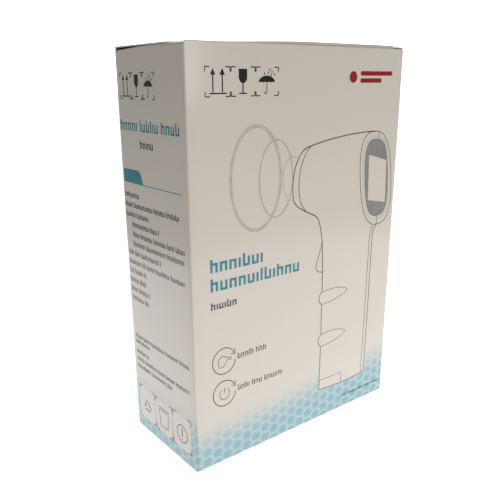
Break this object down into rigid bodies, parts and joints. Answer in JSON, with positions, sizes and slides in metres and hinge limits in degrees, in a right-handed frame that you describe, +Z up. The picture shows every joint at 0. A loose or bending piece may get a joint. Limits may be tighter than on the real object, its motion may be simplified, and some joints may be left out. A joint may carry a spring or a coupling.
{
  "type": "boxed infrared thermometer",
  "caption": "Printed tuck-top carton of coated board that opens to let a pistol-grip infrared body thermometer, seated in a foam base, lift out.",
  "frame": {"origin": "centre of the carton's bottom face, on the surface that it stands on", "axes": "+Z up; the printed front panel faces -Y and the narrow left side panel faces -X; the thermometer inside points its nose to -X"},
  "size_m": [0.124, 0.054, 0.18],
  "materials": {
    "coated_board": "gloss",
    "foam": "matte",
    "leaflet_paper": "matte",
    "white_casing": "satin",
    "grey_trim": "satin",
    "black_plastic": "matte",
    "dark_mask": "gloss",
    "clear_window": "gloss",
    "liquid_crystal": "satin",
    "circuit_board": "satin",
    "chip_black": "matte",
    "sensor_metal": "polished",
    "steel": "satin",
    "nickel": "satin",
    "ribbon": "satin",
    "cell": "gloss"
  },
  "bodies": {
    "carton": {"carton_front_panel": "coated_board", "carton_back_panel": "coated_board", "carton_left_panel": "coated_board", "carton_right_panel": "coated_board", "carton_glue_flap": "coated_board", "bottom_outer_flap": "coated_board", "bottom_inner_flap": "coated_board", "bottom_dust_flap_left": "coated_board", "bottom_dust_flap_right": "coated_board", "foam_base": "foam"},
    "lid": {"carton_lid": "coated_board", "carton_tuck_flap": "coated_board"},
    "left_flap": {"dust_flap_left": "coated_board"},
    "right_flap": {"dust_flap_right": "coated_board"},
    "leaflet": {"instruction_leaflet": "leaflet_paper"},
    "thermometer": {"left_casing": "white_casing", "right_casing": "white_casing", "display_frame": "white_casing", "nose_ring": "grey_trim", "reflector_cone": "black_plastic", "sensor_holder": "black_plastic", "buzzer": "black_plastic", "battery_frame": "black_plastic", "lcd_holder": "black_plastic", "tact_switch": "black_plastic", "display_mask": "dark_mask", "infrared_window": "dark_mask", "display_window": "clear_window", "lcd_module": "liquid_crystal", "main_board": "circuit_board", "trigger_board": "circuit_board", "board_chips": "chip_black", "thermopile_sensor": "sensor_metal", "casing_screws": "steel", "trigger_pin": "steel", "trigger_spring": "steel", "battery_springs": "steel", "battery_contacts": "nickel", "sensor_ribbon": "ribbon", "batteries": "cell"},
    "trigger": {"trigger_button": "grey_trim"},
    "hatch": {"battery_door": "white_casing", "door_contact": "nickel"}
  },
  "joints": [
    {"name": "thermometer_lift", "type": "slide", "parent": "carton", "child": "thermometer", "axis": [0, 0, 1], "range_m": [0, 0.07]},
    {"name": "lid_hinge", "type": "hinge", "parent": "carton", "child": "lid", "pos_m": [0, 0.027, 0.18], "axis": [-1, 0, 0], "range_deg": [0, 260]},
    {"name": "left_flap_hinge", "type": "hinge", "parent": "carton", "child": "left_flap", "pos_m": [-0.062, 0, 0.179], "axis": [0, -1, 0], "range_deg": [0, 130]},
    {"name": "right_flap_hinge", "type": "hinge", "parent": "carton", "child": "right_flap", "pos_m": [0.062, 0, 0.179], "axis": [0, 1, 0], "range_deg": [0, 130]},
    {"name": "leaflet_lift", "type": "slide", "parent": "carton", "child": "leaflet", "axis": [0, 0, 1], "range_m": [0, 0.07]},
    {"name": "trigger_pull", "type": "hinge", "parent": "thermometer", "child": "trigger", "pos_m": [-0.0175, 0, 0.1045], "axis": [0, -1, 0], "range_deg": [0, 8], "stiffness_Nm_per_rad": 0.1, "springref_deg": -2.86, "deforming": ["trigger_spring"]},
    {"name": "hatch_slide", "type": "slide", "parent": "thermometer", "child": "hatch", "axis": [-1, 0, 0], "range_m": [0, 0.021]}
  ],
  "couplings": [
    {"joint": "lid_hinge", "follows": "thermometer_lift", "rad_per_m": 64.802},
    {"joint": "left_flap_hinge", "follows": "thermometer_lift", "rad_per_m": 32.388},
    {"joint": "right_flap_hinge", "follows": "thermometer_lift", "rad_per_m": 32.388},
    {"joint": "leaflet_lift", "follows": "thermometer_lift", "ratio": 1}
  ]
}
